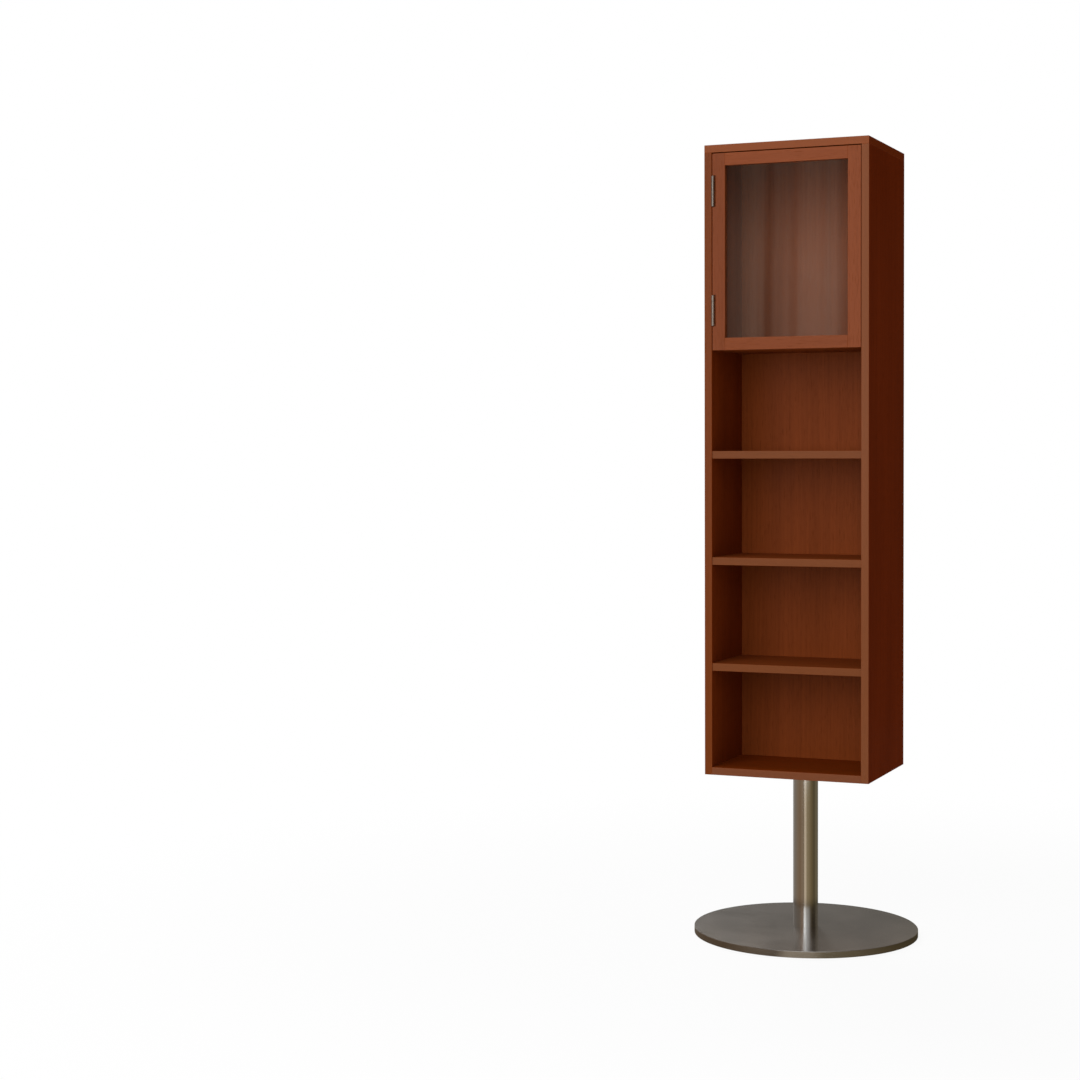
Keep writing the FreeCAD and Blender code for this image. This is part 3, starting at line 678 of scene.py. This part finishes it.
acetal = moulded_finish("turned_acetal", (0.74, 0.72, 0.66), (0.62, 0.60, 0.54),
                        rough=0.38, grain_per_m=900, depth=0.00002)
catch_plastic = moulded_finish("catch_plastic", (0.052, 0.024, 0.013), (0.030, 0.013, 0.007),
                               rough=0.46, grain_per_m=1600, depth=0.00003)
ferrite = moulded_finish("ferrite", (0.050, 0.050, 0.054), (0.022, 0.022, 0.025),
                         rough=0.52, grain_per_m=2200, depth=0.00003)
black_rubber = moulded_finish("black_rubber", (0.030, 0.029, 0.028), (0.012, 0.012, 0.012),
                              rough=0.72, grain_per_m=1300, depth=0.00005)
clear_rubber = moulded_finish("clear_rubber", (0.80, 0.80, 0.77), (0.70, 0.70, 0.66),
                              rough=0.22, grain_per_m=400, depth=0.00001, clear=0.6)
small_parts = {"head_bush": acetal, "lower_bush": acetal, "catch_body": catch_plastic,
               "catch_magnet": ferrite, "base_glides": black_rubber, "door_bumpers": clear_rubber}
for name, finish in small_parts.items():
    dress(name, finish)
print("plastics and rubber on", len(small_parts), "nodes")

# %% [markdown]
# ## Glass and mirror
#
# The door's pane is plain float glass. It is thin and flat, so nothing behind it looks bent, and a
# Transparent shader is enough for what is seen through it. That also lets the lamps light the compartment,
# which a refracting glass would leave dark. A sharp glossy shader is mixed in for what each face mirrors.
# The mirror is silvered behind the glass, which makes it a metal to light: it mirrors nearly all of it,
# slightly green. Fingers and cloths leave faint smears on both, which catch a little more light on the pane
# and dull the mirror a little.

# %% Door glass and mirror
def smears(glass, low, high):
    """A value from low on clean glass to high in faint wiped arcs."""
    wiped = glass.noise(glass.stretched(glass.place(), (5, 5, 2.2)), detail=5.0, rough=0.6, bend=1.2)
    return low + (high - low) * wiped.step(0.48, 0.80)


def pane_finish():
    """Clear glass: what is behind it shows straight through, and each face mirrors a share of the light.

    The share grows from less than a tenth seen square on, a little more where it is smeared, to all of it
    seen edge on, with the fifth power of how far the face is turned away (Schlick's rule).
    """
    glass = new_finish("float_glass")
    turned = glass.node("LayerWeight", values={"Blend": 0.5}, out="Facing")
    share = smears(glass, 0.085, 0.098) + 0.93 * turned ** 5
    through = glass.node("BsdfTransparent", values={"Color": (0.985, 0.99, 0.986, 1)})
    shine = glass.node("BsdfAnisotropic", values={"Color": (1, 1, 1, 1), "Roughness": 0.0})
    glass.show(glass.node("MixShader", values={0: share, 1: through, 2: shine}))
    return glass.owner


def mirror_finish():
    """Silvered glass."""
    mirror = new_finish("silvered_glass")
    mirror.surface(Base_Color=(0.86, 0.885, 0.875), Metallic=1.0, Roughness=smears(mirror, 0.012, 0.06))
    return mirror.owner


dress("door_glass", pane_finish())
dress("mirror_glass", mirror_finish())
print("glass on 2 nodes")

# %% [markdown]
# ## Small screws
#
# Three small screws hold each leaf of a hinge, not quite in line so that they don't split the wood. The
# catch hangs from two round-headed screws, and its striking plate is held by two more. Each head is one
# surface of revolution: a profile that falls from the crown to the rim is carried round the screw's axis,
# and a cross is pressed into it by lowering the points that lie inside either of its two bars. Screws that
# share a size and a body are one piece.

# %% The shape of a screw's head
def head_points(radius, height, recess, rows=14, columns=48):
    """A domed head: the distance from the axis runs down one parameter and the angle round the other.

    The height is that of a flat dome, height times the root of one less the squared distance, less the
    recess wherever either bar of the cross is near: 1 inside both its half width and its half length.
    """
    distances = np.sin(np.linspace(0, np.pi / 2, rows))
    angles = np.linspace(0, 2 * np.pi, columns, endpoint=False)
    out, turn = np.meshgrid(distances, angles, indexing="ij")
    x, y = out * np.cos(turn), out * np.sin(turn)
    half_width, half_length = 0.16, 0.62
    bars = [np.maximum(np.abs(a) / half_width, np.abs(b) / half_length) for a, b in ((x, y), (y, x))]
    pressed = np.clip((1.25 - np.minimum(*bars)) / 0.5, 0, 1)
    level = height * np.sqrt(np.clip(1 - out ** 2, 0, 1)) - recess * pressed * (out < 0.95)
    return np.stack([x * radius, y * radius, level], axis=-1)


def screw_head(centre, outward, radius, height, recess):
    """A head's points, turned so that its crown faces outward, with a flat underside that closes it."""
    local = head_points(radius, height, recess)
    local = np.concatenate([local, [np.zeros_like(local[0])]])
    side = np.cross(outward, (0.36, 0.48, 0.80))
    side /= np.linalg.norm(side)
    other = np.cross(outward, side)
    return np.asarray(centre) + local @ np.stack([side, other, outward])


print("a head has", head_points(1, 1, 0).shape[0] + 1, "rings of points")

# %% Screws as pieces
def closed_piece(name, patches):
    """One piece from several wrapped grids: doubles merged, poles closed, and faces turned outwards."""
    shape = bmesh.new()
    for points in patches:
        mesh = grid_mesh(name, points, wrap=True)
        shape.from_mesh(mesh)
        bpy.data.meshes.remove(mesh)
    bmesh.ops.remove_doubles(shape, verts=shape.verts, dist=1e-6)
    bmesh.ops.recalc_face_normals(shape, faces=shape.faces)
    mesh = bpy.data.meshes.new(name)
    shape.to_mesh(mesh)
    shape.free()
    mesh.shade_smooth()
    return add_object(name, mesh)


def set_screws(name, body, places, outward, finish, radius, height, recess):
    """One piece with a head at each place, that rides on a body."""
    piece = closed_piece(name, [screw_head(place, outward, radius, height, recess) for place in places])
    piece.data.materials.append(finish)
    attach(piece, body)
    print(name, len(places), "heads", len(piece.data.polygons), "faces")


print("screws can be set on a body")

# %% Hinge screws
leaf_thickness, barrel, hinge_length, out_of_line = 0.0015, 0.0075, 0.070, 0.0022
leaves_low, leaves_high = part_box("hinge_door_leaves")
leaf_middle = (leaves_low.y + barrel + leaves_high.y) / 2
heights = [(bottom + share * hinge_length, leaf_middle + side * out_of_line)
           for bottom in (leaves_low.z, leaves_high.z - hinge_length)
           for share, side in ((0.17, -1), (0.5, 1), (0.83, -1))]
on_side = [(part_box("side_left")[1].x + leaf_thickness, y, z) for z, y in heights]
on_door = [(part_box("door_stile_hinge")[0].x, y, z) for z, y in heights]
for name, body, places, outward in (("cabinet_leaf_screws", "cabinet", on_side, (1, 0, 0)),
                                    ("door_leaf_screws", "door", on_door, (-1, 0, 0))):
    set_screws(name, body, places, outward, hinge_steel,
               radius=0.0031, height=0.0002, recess=0.00014)

# %% Screws of the catch and its striking plate
catch_low, catch_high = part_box("catch_body")
magnet_low, magnet_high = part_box("catch_magnet")
strike_low, strike_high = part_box("strike_plate")
catch_middle = (catch_low.y + catch_high.y) / 2
catch_places = [(x, catch_middle, catch_low.z)
                for x in ((catch_low.x + magnet_low.x) / 2, (catch_high.x + magnet_high.x) / 2)]
strike_level, strike_inset = (strike_low.z + strike_high.z) / 2, 0.006
strike_places = [(x, strike_high.y, strike_level)
                 for x in (strike_low.x + strike_inset, strike_high.x - strike_inset)]
set_screws("catch_screws", "cabinet", catch_places, (0, 0, -1), zinc_plate,
           radius=0.0030, height=0.0013, recess=0.0008)
set_screws("strike_screws", "door", strike_places, (0, 1, 0), zinc_plate,
           radius=0.0026, height=0.0002, recess=0.00012)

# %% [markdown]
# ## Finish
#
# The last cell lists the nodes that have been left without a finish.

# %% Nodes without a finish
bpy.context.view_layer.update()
bare = [name for name, node in nodes.items() if not any(slot.material for slot in node.material_slots)]
print("nodes without a finish:", bare)
